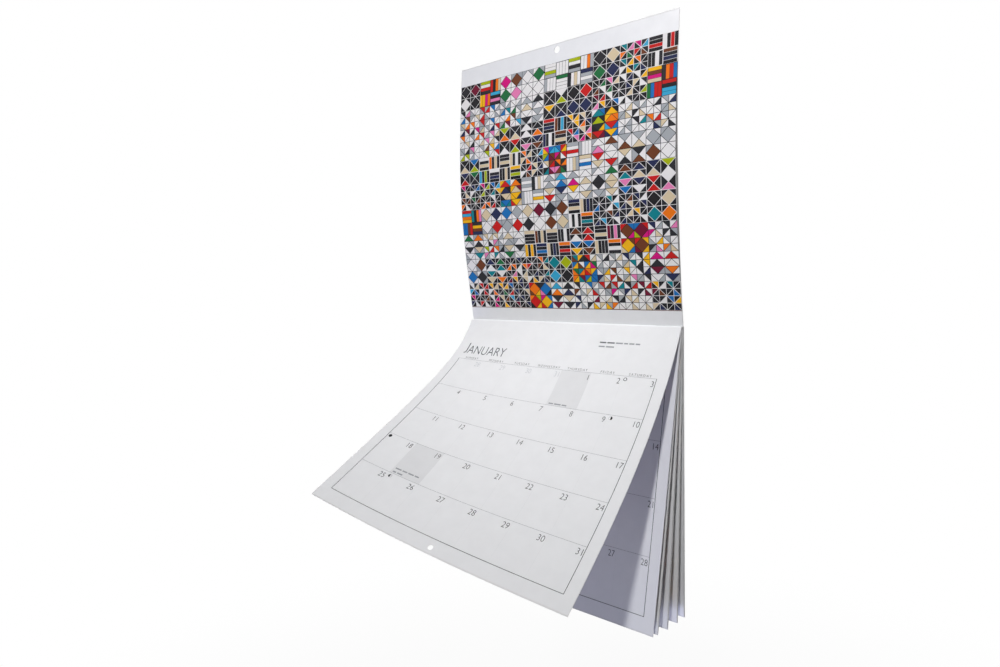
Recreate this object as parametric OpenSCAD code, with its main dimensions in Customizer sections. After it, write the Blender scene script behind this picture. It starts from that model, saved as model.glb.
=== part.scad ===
// Wall calendar of folded sheets, stapled through the fold and hung open by the hole in its top margin.
// Millimetres. X runs along the fold, Y points to the wall and Z points up. The origin is the centre of
// the hanging hole, where the nail goes through.

/* [Page] */
// Width of a page, along the fold
page_w = 304.8; // [200:0.1:420]
// Height of the closed calendar, from the outside of its fold to the edge where its leaves are trimmed
page_h = 330.2; // [200:0.1:420]
// Thickness of the inner sheets
page_t = 0.2; // [0.12:0.01:0.3]
// Thickness of the cover sheet
cover_t = 0.3; // [0.15:0.01:0.4]
// Gap between neighbouring sheets at the fold
ply_gap = 0.3; // [0.2:0.05:0.6]
// Inner radius of the centre sheet's fold
fold_r = 0.7; // [0.5:0.05:2]

/* [Holes] */
// Diameter of the hanging hole in the two upper leaves
hang_hole_d = 8; // [4:0.1:10]
// Diameter of the hole in each lower leaf
leaf_hole_d = 5.5; // [3:0.1:9]
// Distance from a leaf's outer edge to its hole's centre
hole_inset = 7.5; // [6:0.1:15]
// Flat stretch at a leaf's outer edge
margin_flat = 22; // [18:1:40]

/* [Upper leaves] */
// Forward lean where the upper leaves leave the fold, in degrees
upper_lean_fold = 7.8; // [0:0.1:15]
// Lean of the upper leaves at their top, negative towards the wall, in degrees
upper_lean_top = -5.7; // [-10:0.1:5]
// Most by which the cover's upper leaf lags behind the picture leaf's lean, in degrees
cover_lag = 2.7; // [0:0.1:4]
// Height by which the cover's upper leaf is cut short at its top
cover_trim = 3; // [0:0.1:3]

/* [January leaf] */
// Lift of the January leaf where it leaves the fold, in degrees
january_lift = 28.9; // [18:0.1:45]
// Distance from the leaf's left edge to the point where its lines of bend meet
january_apex = 105; // [60:1:400]
// Degrees of curl for each degree round that point, at the fold
january_curl_fold = 1.01; // [0:0.01:1.2]
// Degrees of curl for each degree round that point, at the lower left corner
january_curl_corner = 0.25; // [0:0.01:0.8]

/* [Fan of lower leaves] */
// Mean lean of the February leaf, in degrees
february_lean = 12.8; // [12:0.1:16]
// Mean lean of the second bundle of leaves, in degrees
second_lean = 11; // [9:0.1:11.5]
// Mean lean of the third bundle of leaves, in degrees
third_lean = 7.1; // [5:0.1:8]
// Mean lean of the fourth bundle of leaves, in degrees
fourth_lean = 3.2; // [2:0.1:4]
// Mean lean of the last bundle, against the wall, in degrees
last_lean = 0.2; // [0:0.1:1]
// Step of lean between neighbouring leaves of a bundle, in degrees
leaf_step = 0.1; // [0:0.01:0.2]
// Curl of a leaf from the fold to its outer edge, as a share of its lean
leaf_curl = 0.15; // [0:0.01:0.6]

/* [Staples] */
// Diameter of the staple wire
wire_d = 0.6; // [0.4:0.05:0.8]
// Width of a staple, between the centres of its legs
staple_w = 14; // [8:0.5:20]
// Distance of each staple's middle from the middle of the fold
staple_x = 84.7; // [30:0.1:90]
// Length of each bent-over staple end
clinch_l = 5; // [2:0.5:6]
// Clearance of the wire in its holes and on its seats
wire_clear = 0.08; // [0.05:0.01:0.15]
// Slant of the staples above the horizontal, towards the wall, in degrees
staple_slant = 45; // [35:1:55]

/* [Hidden] */
$fn = 48;

// Flat strips in a leaf's bend, in a fold and in each half of the January leaf
leaf_strips = 24;
fold_strips = 16;
curl_strips = 28;
corner_strips = 14;

// Radius of each sheet's fold, at mid thickness, counted outwards from the centre sheet
ply_pitch = page_t + ply_gap;
may_r = fold_r + page_t / 2;
april_r = may_r + ply_pitch;
march_r = april_r + ply_pitch;
february_r = march_r + ply_pitch;
january_r = february_r + ply_pitch;
picture_r = january_r + ply_pitch;
cover_r = picture_r + (page_t + cover_t) / 2 + ply_gap;

// Length of the drills: through one leaf, and through both upper leaves
drill_l = page_t + 2 * ply_gap;
hang_drill_l = 8 * ply_pitch;

paper_colour = "#f2f3f5";
picture_colour = "#8d8a86";
cover_colour = "#d9dadc";
steel_colour = "#b9bcc0";

// Directions in the YZ plane of a leaf that hangs down or stands up with a forward lean
function down_dir(lean) = [-sin(lean), -cos(lean)];
function up_dir(lean) = [-sin(lean), cos(lean)];
// Point of a fold of radius r at an angle from the wall side, and length of its arc
function fold_point(r, angle) = r * [cos(angle), sin(angle)];
function arc_length(r, angle) = r * angle * PI / 180;
// Height of a leaf from the staples to its outer edge: the closed calendar is trimmed in one cut, so the
// leaves of the inner sheets are shorter by what the outer folds take up
function leaf_h(r) = page_h - cover_r - cover_t / 2 + arc_length(r, 90);
function reversed(list) = [for (i = [len(list) - 1:-1:0]) list[i]];
function unit(v) = v / norm(v);

// Lean of a lower leaf at a share of its length
function leaf_lean(mean, share) = mean * (1 + leaf_curl * (share - 0.5));
// Lean of an upper leaf: a soft S that turns over the stretch of its height given by two shares.
// A leaf that lags falls back over the lower half of its bend and comes forward over the upper half.
bow_start = 0.1;
bow_span = 0.8;
upper_h = leaf_h(picture_r);
bend_share = 1 - margin_flat / upper_h;
function upper_lean(share, lag = 0) = (upper_lean_fold + upper_lean_top) / 2
    + (upper_lean_fold - upper_lean_top) / 2 * cos(180 * (share - bow_start) / bow_span)
    - lag * sin(360 * min(share / bend_share, 1));

// Points of a lower leaf from its fold to its outer edge, which ends in one flat strip
function leaf_points(start, mean, length) =
    let (step = (length - margin_flat) / leaf_strips)
    let (bend = [for (i = 0, p = start; i <= leaf_strips;
                      p = p + step * down_dir(leaf_lean(mean, (i + 0.5) / leaf_strips)), i = i + 1) p])
    concat(bend, [bend[leaf_strips] + margin_flat * down_dir(leaf_lean(mean, 1))]);
// Points of an upper leaf from the fold to its top edge, which ends in one flat strip. Both upper leaves
// bend over the same height, and what the cover has more or less is in its flat strip.
function upper_points(r, lag = 0, trim = 0) =
    let (step = (upper_h - margin_flat) / leaf_strips)
    let (bend = [for (i = 0, p = fold_point(r, staple_slant); i <= leaf_strips;
                      p = p + step * up_dir(upper_lean((i + 0.5) * step / upper_h, lag)), i = i + 1) p])
    concat(bend, [bend[leaf_strips] + (margin_flat + leaf_h(r) - upper_h - trim) * up_dir(upper_lean(1))]);

// Angles round a fold at which a front leaf and a wall-side leaf leave it
function front_angle(mean) = 180 - leaf_lean(mean, 0);
function wall_angle(mean) = -leaf_lean(mean, 0);
function fold_arc(r, from, to) =
    [for (i = [0:fold_strips]) fold_point(r, from + (to - from) * i / fold_strips)];

// Lower leaf on the front of a fold and on its wall side
function front_leaf(r, mean) =
    leaf_points(fold_point(r, front_angle(mean)), mean,
                leaf_h(r) - arc_length(r, front_angle(mean) - staple_slant));
function wall_leaf(r, mean) =
    leaf_points(fold_point(r, wall_angle(mean)), mean,
                leaf_h(r) - arc_length(r, staple_slant - wall_angle(mean)));

// Path of a sheet folded over the staples with both leaves down, and of one opened up flat
function hung_path(r, front_mean, wall_mean) =
    concat(reversed(front_leaf(r, front_mean)),
           [for (i = [1:fold_strips - 1]) fold_arc(r, front_angle(front_mean), wall_angle(wall_mean))[i]],
           wall_leaf(r, wall_mean));
function open_path(r, wall_mean, lag, trim) =
    concat(reversed(upper_points(r, lag, trim)),
           [for (i = [1:fold_strips - 1]) fold_arc(r, staple_slant, wall_angle(wall_mean))[i]],
           wall_leaf(r, wall_mean));

// Mean lean of each leaf: the front leaves of the five hung sheets, then the wall-side leaves
march_lean = second_lean;
april_lean = second_lean - leaf_step;
may_lean = third_lean;
may_wall_lean = third_lean - leaf_step;
april_wall_lean = fourth_lean;
march_wall_lean = fourth_lean - leaf_step;
february_wall_lean = fourth_lean - 2 * leaf_step;
january_wall_lean = last_lean;
picture_wall_lean = last_lean - leaf_step;
cover_wall_lean = last_lean - 2 * leaf_step;

// The hanging hole is on the upper picture leaf, and the frame's origin is its centre
upper_edge = upper_points(picture_r);
hole_point = upper_edge[leaf_strips + 1] - hole_inset * up_dir(upper_lean(1));

// Side normal of a path at point i, lengthened at a bend so that the sheet keeps its thickness
function side(path, i) =
    let (before = unit(path[max(i, 1)] - path[max(i, 1) - 1]))
    let (after = unit(path[min(i + 1, len(path) - 1)] - path[min(i + 1, len(path) - 1) - 1]))
    let (along = unit(before + after))
    [along[1], -along[0]] / (along * after);
function band(path, t) =
    concat([for (i = [0:len(path) - 1]) path[i] + t / 2 * side(path, i)],
           [for (i = [len(path) - 1:-1:0]) path[i] - t / 2 * side(path, i)]);

// Places the fold's middle in the frame
module at_fold() {
    translate([0, -hole_point[0], -hole_point[1]]) children();
}

// Turns a shape drawn in YZ into a bar of the page's width along X
module across_page() {
    rotate([90, 0, 90]) linear_extrude(page_w, center = true) children();
}

// Drill square to a leaf that ends at a point of the YZ plane with a given lean
module leaf_drill(edge, lean) {
    centre = edge - hole_inset * down_dir(lean);
    translate([0, centre[0], centre[1]]) rotate([90 - lean, 0, 0])
        cylinder(d = leaf_hole_d, h = drill_l, center = true);
}

// Drill for the nail, square to the top margin of both upper leaves
module hang_drill() {
    translate([0, hole_point[0], hole_point[1]]) rotate([90 + upper_lean(1), 0, 0])
        cylinder(d = hang_hole_d, h = hang_drill_l, center = true);
}

// Holes that the four staple legs make through the folds
module leg_holes() {
    for (side = [-1, 1], leg = [-1, 1])
        translate([side * staple_x + leg * staple_w / 2, 0, 0]) rotate([staple_slant - 90, 0, 0])
            cylinder(d = wire_d + 2 * wire_clear, h = cover_r + 2 * wire_d);
}

// Sheet with both leaves hung down
module hung_sheet(r, front_mean, wall_mean) {
    path = hung_path(r, front_mean, wall_mean);
    at_fold() difference() {
        across_page() polygon(band(path, page_t));
        leg_holes();
        leaf_drill(path[0], leaf_lean(front_mean, 1));
        leaf_drill(path[len(path) - 1], leaf_lean(wall_mean, 1));
    }
}

// Sheet opened up flat, with its upper leaf on the nail
module open_sheet(r, t, wall_mean, lag = 0, trim = 0) {
    path = open_path(r, wall_mean, lag, trim);
    at_fold() difference() {
        across_page() polygon(band(path, t));
        leg_holes();
        hang_drill();
        leaf_drill(path[len(path) - 1], leaf_lean(wall_mean, 1));
    }
}

// The January leaf is a cone of paper: straight lines of bend that meet at a point left of the page
january_start = fold_point(january_r, 180 - january_lift);
january_length = leaf_h(january_r) - arc_length(january_r, 180 - january_lift - staple_slant);
apex = [-page_w / 2 - january_apex, january_start[0], january_start[1]];
far_corner_angle = atan(january_length / (january_apex + page_w));
near_corner_angle = atan(january_length / january_apex);
curl_lines = curl_strips + corner_strips;
// Angle of line i from the fold: one set up to the right corner, one on to the left corner
function line_angle(i) = i <= curl_strips ? far_corner_angle * i / curl_strips
    : far_corner_angle + (near_corner_angle - far_corner_angle) * (i - curl_strips) / corner_strips;
function curl_rate(angle) = january_curl_fold
    + (january_curl_corner - january_curl_fold) * angle / near_corner_angle;
// Turns the frame of a line, its direction and the direction across it, on to the next line
function next_line(f, turn, curl) =
    let (along = f[0] * cos(turn) + f[1] * sin(turn))
    let (across = f[1] * cos(turn) - f[0] * sin(turn))
    let (out = cross(across, along))
    [along, across * cos(curl) + out * sin(curl), unit(out * cos(curl / 2) - across * sin(curl / 2))];
first_line = [[1, 0, 0], [0, down_dir(january_lift)[0], down_dir(january_lift)[1]],
              [0, -cos(january_lift), sin(january_lift)]];
bend_lines = [for (i = 0, f = first_line; i <= curl_lines;
                   f = next_line(f, line_angle(i + 1) - line_angle(i),
                                 curl_rate((line_angle(i) + line_angle(i + 1)) / 2)
                                 * (line_angle(i + 1) - line_angle(i))), i = i + 1) f];
// Points where line i meets the left edge, and the right edge or the bottom edge
function near_point(i) = apex + january_apex / cos(line_angle(i)) * bend_lines[i][0];
function far_point(i) = apex + (i <= curl_strips ? (january_apex + page_w) / cos(line_angle(i))
    : january_length / sin(line_angle(i))) * bend_lines[i][0];

// Rows of the January sheet, each with its left and right end and its normal: wall-side leaf, fold, cone
january_wall_path = concat(reversed(wall_leaf(january_r, january_wall_lean)),
    [for (i = [1:fold_strips - 1])
        fold_arc(january_r, wall_angle(january_wall_lean), 180 - january_lift)[i]]);
january_rows = concat(
    [for (i = [0:len(january_wall_path) - 1])
        let (p = january_wall_path[i], s = side(january_wall_path, i))
        [[-page_w / 2, p[0], p[1]], [page_w / 2, p[0], p[1]], [0, s[0], s[1]]]],
    [for (i = [0:curl_lines - 1]) [near_point(i), far_point(i), bend_lines[i][2]]]);
january_tip = [near_point(curl_lines), bend_lines[curl_lines][2]];

// Closed skin over rows of four points, left and right on the outer and inner face, and a tip of two
module skin(rows, tip, t) {
    last = len(rows) - 1;
    points = concat(
        [for (row = rows, lift = [t / 2, -t / 2], end = [0, 1]) row[end] + lift * row[2]],
        [for (lift = [t / 2, -t / 2]) tip[0] + lift * tip[1]]);
    outer_tip = 4 * last + 4;
    inner_tip = outer_tip + 1;
    strips = [for (i = [0:last - 1]) let (a = 4 * i, b = 4 * i + 4) each [
        [a, a + 1, b], [b, a + 1, b + 1], [a + 2, b + 2, a + 3], [b + 2, b + 3, a + 3],
        [a, b, a + 2], [b, b + 2, a + 2], [a + 1, a + 3, b + 1], [b + 1, a + 3, b + 3]]];
    z = 4 * last;
    caps = [[0, 2, 1], [1, 2, 3], [z, z + 1, outer_tip], [z + 2, inner_tip, z + 3],
            [z, outer_tip, z + 2], [outer_tip, inner_tip, z + 2],
            [z + 1, z + 3, outer_tip], [outer_tip, z + 3, inner_tip]];
    polyhedron(points, concat(strips, caps));
}

// Drill square to the January leaf at its hole
module january_drill() {
    reach = [january_apex + page_w / 2, january_length - hole_inset];
    angle = atan(reach[1] / reach[0]);
    line = [for (i = [0:curl_lines - 1]) if (line_angle(i) <= angle && angle < line_angle(i + 1)) i][0];
    share = (angle - line_angle(line)) / (line_angle(line + 1) - line_angle(line));
    along = unit(bend_lines[line][0] * (1 - share) + bend_lines[line + 1][0] * share);
    out = unit(bend_lines[line][2] * (1 - share) + bend_lines[line + 1][2] * share);
    translate(apex + norm(reach) * along) rotate([0, acos(out[2]), atan2(out[1], out[0])])
        cylinder(d = leaf_hole_d, h = drill_l, center = true);
}

// Staple: crown on the outside of the cover's fold, two legs through every fold, ends bent together inside
module staple() {
    crease_angle = staple_slant - upper_lean(0);
    crown_reach = cover_r + (cover_t / 2 + wire_d / 2 + wire_clear) / cos(crease_angle);
    clinch_reach = may_r - page_t / 2 - wire_d / 2 - wire_clear;
    rotate([staple_slant - 90, 0, 0]) {
        translate([0, 0, crown_reach]) rotate([0, 90, 0])
            cylinder(d = wire_d, h = staple_w, center = true);
        for (leg = [-1, 1]) translate([leg * staple_w / 2, 0, 0]) {
            translate([0, 0, clinch_reach]) cylinder(d = wire_d, h = crown_reach - clinch_reach);
            for (bend = [crown_reach, clinch_reach]) translate([0, 0, bend]) sphere(d = wire_d);
            translate([0, 0, clinch_reach]) rotate([0, -90 * leg, 0]) cylinder(d = wire_d, h = clinch_l);
        }
    }
}

module cover_sheet() {
    color(cover_colour) open_sheet(cover_r, cover_t, cover_wall_lean, cover_lag, cover_trim);
}

module picture_sheet() {
    color(picture_colour) open_sheet(picture_r, page_t, picture_wall_lean);
}

module january_sheet() {
    wall_edge = january_wall_path[0];
    color(paper_colour) at_fold() difference() {
        skin(january_rows, january_tip, page_t);
        leg_holes();
        leaf_drill(wall_edge, leaf_lean(january_wall_lean, 1));
        january_drill();
    }
}

module february_sheet() {
    color(paper_colour) hung_sheet(february_r, february_lean, february_wall_lean);
}

module march_sheet() {
    color(paper_colour) hung_sheet(march_r, march_lean, march_wall_lean);
}

module april_sheet() {
    color(paper_colour) hung_sheet(april_r, april_lean, april_wall_lean);
}

module may_sheet() {
    color(paper_colour) hung_sheet(may_r, may_lean, may_wall_lean);
}

module left_staple() {
    color(steel_colour) at_fold() translate([-staple_x, 0, 0]) staple();
}

module right_staple() {
    color(steel_colour) at_fold() translate([staple_x, 0, 0]) staple();
}

cover_sheet();
picture_sheet();
january_sheet();
february_sheet();
march_sheet();
april_sheet();
may_sheet();
left_staple();
right_staple();
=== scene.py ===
"""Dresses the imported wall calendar: smooth printed sheets, wire staples and a plain studio."""

import math
import random

import bpy
import numpy as np
from mathutils import Matrix, Vector


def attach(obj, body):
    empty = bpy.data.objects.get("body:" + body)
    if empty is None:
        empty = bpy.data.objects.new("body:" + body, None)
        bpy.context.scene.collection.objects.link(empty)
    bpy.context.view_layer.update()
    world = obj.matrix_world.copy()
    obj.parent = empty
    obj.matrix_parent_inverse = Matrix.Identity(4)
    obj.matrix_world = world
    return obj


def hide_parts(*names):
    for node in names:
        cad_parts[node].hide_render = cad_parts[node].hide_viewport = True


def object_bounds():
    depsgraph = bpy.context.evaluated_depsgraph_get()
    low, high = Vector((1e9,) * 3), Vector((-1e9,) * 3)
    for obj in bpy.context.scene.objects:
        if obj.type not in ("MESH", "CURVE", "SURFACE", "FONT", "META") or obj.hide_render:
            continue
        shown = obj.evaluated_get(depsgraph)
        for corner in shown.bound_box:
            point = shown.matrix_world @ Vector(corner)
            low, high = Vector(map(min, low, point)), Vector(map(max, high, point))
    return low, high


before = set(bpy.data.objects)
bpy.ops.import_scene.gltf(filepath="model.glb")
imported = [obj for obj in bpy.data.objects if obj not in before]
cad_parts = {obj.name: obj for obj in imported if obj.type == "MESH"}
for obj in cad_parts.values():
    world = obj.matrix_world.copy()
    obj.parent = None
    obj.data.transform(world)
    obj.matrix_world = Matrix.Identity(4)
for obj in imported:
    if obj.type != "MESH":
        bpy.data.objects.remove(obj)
cad_box = [list(corner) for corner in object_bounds()]

bl_info = {
    "name": "Wall calendar",
    "version": (1, 0, 0),
    "blender": (4, 5, 0),
    "location": "View3D > Sidebar > Calendar",
    "description": "Folded and printed sheets of a wall calendar hung open at January",
    "category": "Object",
}

MILLIMETRE = 0.001
IMAGE_WIDTH = 1000
SENSOR_WIDTH = 36.0

# Sheets and their meshes: the picture sheet's place outwards from the centre sheet, how many sheets lie
# open with their upper leaf on the nail, sides of a round hole, depth of a drill in sheet thicknesses
OUTER_PLY = 5
OPEN_SHEETS = 2
HOLE_SIDES = 32
DRILL_DEPTH = 10
SMOOTH_ANGLE = math.radians(35)

# Papers, inks, wire and floor
PAGE_ROUGHNESS = 0.3
COVER_ROUGHNESS = 0.42
PAPER_BUMP = 0.25
PAPER_SPECULAR = 0.5
INK_ROUGHNESS = 0.45
INK_BUMP = 0.15
INK_SPECULAR = 0.15
INK_WORN_VALUE = 0.97
GLOSSIER = -0.02
DULLER = 0.03
FIBRE_DEPTH = 0.02 * MILLIMETRE
RIM_WIDTH = 0.003
RIM_SHARE = 0.5
WIRE_STREAKS = (120.0, 9000.0, 9000.0)
WIRE_ROUGHNESS = (0.22, 0.4)
FLOOR_ROUGHNESS = 0.9

# Numbers of the colour mix node's sockets
MIX_FIRST = 6
MIX_SECOND = 7
MIX_RESULT = 2

# Months and days
MONTHS = ("JANUARY", "FEBRUARY", "MARCH", "APRIL", "MAY", "JUNE", "JULY", "AUGUST", "SEPTEMBER",
          "OCTOBER", "NOVEMBER", "DECEMBER")
MONTH_DAYS = (31, 28, 31, 30, 31, 30, 31, 31, 30, 31, 30, 31)
WEEKDAYS = ("SUNDAY", "MONDAY", "TUESDAY", "WEDNESDAY", "THURSDAY", "FRIDAY", "SATURDAY")
DAYS_IN_WEEK = len(WEEKDAYS)
FIRST_WEEKDAY = 4

# Shaded days of a month, which is counted from 0
REST_DAYS = {0: (1, 19), 1: (16,), 4: (25,), 6: (4,), 8: (7,), 10: (26,), 11: (25,)}

# Lines of plain bars in the places of small words, each bar by its length in millimetres
HEADING_NOTE = ((8.5, 9.5, 9.0, 5.0, 6.5, 5.5), (8.0, 10.5))
DARK_BARS = 2
LONG_NOTE = ((8.0, 6.5, 7.5, 5.5), (4.5, 7.0))
SHORT_NOTE = ((6.0, 8.5, 6.0),)

# Moon signs: the first one's day, days from one to the next and their number in a year. Each phase has the
# first and the last step of its lit part round the disc, and that part's share of the disc
FIRST_MOON = 3.3
MOON_DAYS = 7.6
MOON_SIGNS = 48
CIRCLE_STEPS = 24
MOON_PHASES = ((0, 24, 0.68), (6, 18, 0.92), (0, 0, 0.0), (18, 30, 0.92))

# Layers of ink over the paper
BASE_LAYER = 1
INK_LAYER = 2
TOP_LAYER = 3

# Lettering, and the narrowest strip that is cut off a printed shape
TEXT_OFFSET = -0.012
TEXT_STEPS = 4
WEEKDAY_SPACING = 1.28
HEADING_GAP = 1.2 * MILLIMETRE
SLIVER = 0.01 * MILLIMETRE

# Pictures: plain strip at the paper's sides, line under a picture, the front cover's band and margin,
# and the small panels of the back cover
BLEED = 0.05 * MILLIMETRE
FOOT_LINE = 0.6 * MILLIMETRE
COVER_BAND = 60 * MILLIMETRE
COVER_MARGIN = 12 * MILLIMETRE
PANELS = 12
PANEL_COLUMNS = 3
PANEL_SIDE = 58 * MILLIMETRE
PANEL_GAP = 14 * MILLIMETRE
PANEL_FOOT = 28 * MILLIMETRE
PANEL_BLOCKS = 4
PANEL_SEAM = 0.15 * MILLIMETRE
SEEDS = {"cover": 40, "panels": 60, "picture": 7, "picture_back": 20, "front_back": 20, "wall_back": 30}

# Patchwork: kinds and schemes of blocks, and the colours that a patch draws from
KINDS = ("pinwheels", "hourglasses", "diamonds", "geese", "zigzags", "rails")
SCHEMES = ("light", "light", "light", "light", "dark", "dark", "dark", "dark", "bright")
QUARTERS = ((0, 0), (1, 0), (1, 1), (0, 1))
BRIGHTS = ("red", "red", "red", "orange", "orange", "yellow", "yellow", "lime", "teal", "sky", "blue",
           "blue", "navy", "navy", "magenta", "pink", "brown", "brown", "wine", "green", "ivory",
           "charcoal")
LIGHT_FIGURES = ("white", "white", "silver", "ivory", "charcoal")
DARK_FIGURES = ("charcoal", "black", "navy", "ivory", "white")
DARK_GROUNDS = ("black", "charcoal")
BRIGHT_GROUNDS = ("black", "white", "yellow")
GREY_GROUND_OVER = 0.8
LIGHT_FIGURE_OVER = 0.38
DARK_FIGURE_OVER = 0.5
BRIGHT_GROUND_OVER = 0.6


def length(name, description, millimetres):
    """Length property, given in millimetres and kept in metres."""
    return bpy.props.FloatProperty(name=name, description=description, default=millimetres * MILLIMETRE,
                                   unit="LENGTH", subtype="DISTANCE", precision=5)


def angle(name, description, degrees):
    """Angle property, given in degrees and kept in radians."""
    return bpy.props.FloatProperty(name=name, description=description, default=math.radians(degrees),
                                   unit="ROTATION", subtype="ANGLE")


def share(name, description, default):
    """Plain number property."""
    return bpy.props.FloatProperty(name=name, description=description, default=default, precision=3)


def power(name, description, watts):
    """Power property of a lamp."""
    return bpy.props.FloatProperty(name=name, description=description, default=watts, unit="POWER")


def count(name, description, default):
    """Whole number property."""
    return bpy.props.IntProperty(name=name, description=description, default=default, min=1)


def linear(code):
    """Linear light values of a six digit colour code."""
    values = [int(code[i:i + 2], 16) / 255 for i in (1, 3, 5)]
    return [v / 12.92 if v <= 0.04045 else ((v + 0.055) / 1.055) ** 2.4 for v in values]


def colour(name, description, code):
    """Colour property, given as a six digit code."""
    return bpy.props.FloatVectorProperty(name=name, description=description, default=linear(code),
                                         size=3, min=0.0, max=1.0, subtype="COLOR")


def place(name, description, metres):
    """Point property in metres."""
    return bpy.props.FloatVectorProperty(name=name, description=description, default=metres, size=3,
                                         unit="LENGTH", subtype="TRANSLATION")


class CalendarSheets(bpy.types.PropertyGroup):
    """Sizes of the sheets and the way each leaf hangs."""

    page_width: length("Page width", "Width of every sheet", 304.8)
    page_height: length("Page height", "Height of the closed calendar", 330.2)
    page_thickness: length("Page thickness", "Thickness of an inner sheet", 0.2)
    cover_thickness: length("Cover thickness", "Thickness of the cover sheet", 0.3)
    ply_gap: length("Ply gap", "Air between two sheets at the fold", 0.3)
    fold_radius: length("Fold radius", "Inside radius of the centre sheet's fold", 0.7)
    hang_hole: length("Hang hole", "Diameter of the hole on the nail", 8.0)
    leaf_hole: length("Leaf hole", "Diameter of the holes of the later leaves", 5.5)
    hole_inset: length("Hole inset", "Distance of a hole's centre from its leaf's outer edge", 7.5)
    margin_flat: length("Flat margin", "Length of the flat strip at a leaf's outer edge", 22.0)
    upper_lean_fold: angle("Upper lean at fold", "Forward lean of the upper leaves near the fold", 7.8)
    upper_lean_top: angle("Upper lean at top", "Forward lean of the upper leaves near the top", -5.7)
    bow_start: share("Bow start", "Share of the upper height where the bow begins", 0.1)
    bow_span: share("Bow span", "Share of the upper height that the bow takes", 0.8)
    cover_lag: angle("Cover lag", "How far the cover's upper leaf sags back behind the picture", 2.7)
    cover_trim: length("Cover trim", "How much shorter the cover's upper leaf ends", 3.0)
    january_lift: angle("January lift", "Lean of the January leaf as it leaves the fold", 28.9)
    january_apex: length("January apex", "Distance of the curl's centre left of the page", 105.0)
    january_curl_fold: share("Curl at fold", "Curl of the January leaf near the fold", 1.01)
    january_curl_corner: share("Curl at corner", "Curl of the January leaf at its left corner", 0.25)
    february_lean: angle("February lean", "Mean forward lean of the February leaf", 12.8)
    second_lean: angle("Second lean", "Mean lean of the March and April leaves", 11.0)
    third_lean: angle("Third lean", "Mean lean of the May and June leaves", 7.1)
    fourth_lean: angle("Fourth lean", "Mean lean of the leaves from July to September", 3.2)
    last_lean: angle("Last lean", "Mean lean of the leaves at the wall", 0.2)
    leaf_step: angle("Leaf step", "Difference in lean of two leaves that lie together", 0.1)
    leaf_curl: share("Leaf curl", "Share of its lean that a leaf gains towards its edge", 0.15)
    wire: length("Wire", "Diameter of the staple wire", 0.6)
    wire_clearance: length("Wire clearance", "Air around a staple leg", 0.08)
    staple_width: length("Staple width", "Length of a staple's crown", 14.0)
    staple_place: length("Staple place", "Distance of a staple's middle from the page's middle", 84.7)
    staple_slant: angle("Staple slant", "Angle round the fold at which the staples stand", 45.0)
    columns: count("Columns", "Mesh columns across a leaf", 32)
    curl_columns: count("Curl columns", "Mesh columns across the January sheet", 96)
    leaf_steps: count("Leaf steps", "Mesh rows along the bend of a leaf", 88)
    curl_rows: count("Curl rows", "Mesh points along the January leaf", 97)
    fold_steps: count("Fold steps", "Mesh rows round a fold", 24)
    curl_steps: count("Curl steps", "Steps of the curl's angle", 240)


class CalendarPrint(bpy.types.PropertyGroup):
    """Layout of the printed pages."""

    grid_side: length("Side margin", "Margin left and right of a month's grid", 12.6)
    grid_foot: length("Foot margin", "Margin under a month's grid", 17.2)
    grid_height: length("Grid height", "Height of a month's grid", 246.4)
    row_line: length("Row line", "Width of the lines between weeks", 0.3)
    column_line: length("Column line", "Width of the lines between days", 0.15)
    border_line: length("Border line", "Width of the grid's border", 0.6)
    day_height: length("Day height", "Height of the day numbers", 6.8)
    day_inset: length("Day inset", "Space right of a day number", 1.7)
    day_drop: length("Day drop", "Space above a day number", 3.2)
    narrow: share("Narrow numbers", "Width of the day numbers beside the plain face", 0.84)
    weekday_height: length("Weekday height", "Height of the weekday names", 3.0)
    weekday_lift: length("Weekday lift", "Space between a weekday name and the grid", 1.1)
    heading_height: length("Heading height", "Height of the month's name", 13.0)
    initial_height: length("Initial height", "Height of the first letter of the month's name", 17.0)
    heading_lift: length("Heading lift", "Space between the month's name and the grid", 9.6)
    heading_inset: length("Heading inset", "Left margin of the month's name", 13.4)
    heading_narrow: share("Narrow heading", "Width of the month's name beside the plain face", 0.79)
    moon: length("Moon", "Diameter of the moon signs", 4.4)
    moon_inset: length("Moon inset", "Distance of a moon sign from its cell's corner", 4.0)
    note_height: length("Note height", "Height of the plain bars in the places of small words", 1.7)
    note_gap: length("Note gap", "Space between two bars of a line", 1.5)
    note_step: length("Note step", "Distance between two lines of bars", 5.2)
    note_lift: length("Note lift", "Height of the heading's last line of bars over the grid", 33.8)
    note_inset: length("Note inset", "Distance of the heading's bars from the right edge", 95.0)
    cell_note_lift: length("Cell note lift", "Height of a rest day's last bars over its cell's foot", 1.8)
    cell_note_inset: length("Cell note inset", "Distance of a rest day's bars from its cell's side", 2.5)
    picture_head: length("Picture head", "Margin between a picture and the leaf's outer edge", 22.5)
    picture_foot: length("Picture foot", "Margin between a picture and the fold", 18.0)
    block: length("Block", "Side of a patchwork block", 33.8)
    patch_gap: length("Patch gap", "Width of half the seam line between patches", 0.28)
    ink_lift: length("Ink lift", "Height of one layer of ink above the paper", 0.03)
    cell: length("Cell", "Largest stretch of print laid flat", 6.0)
    curl_cell: length("Curl cell", "Largest stretch of print laid flat on the curled leaf", 3.0)


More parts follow.
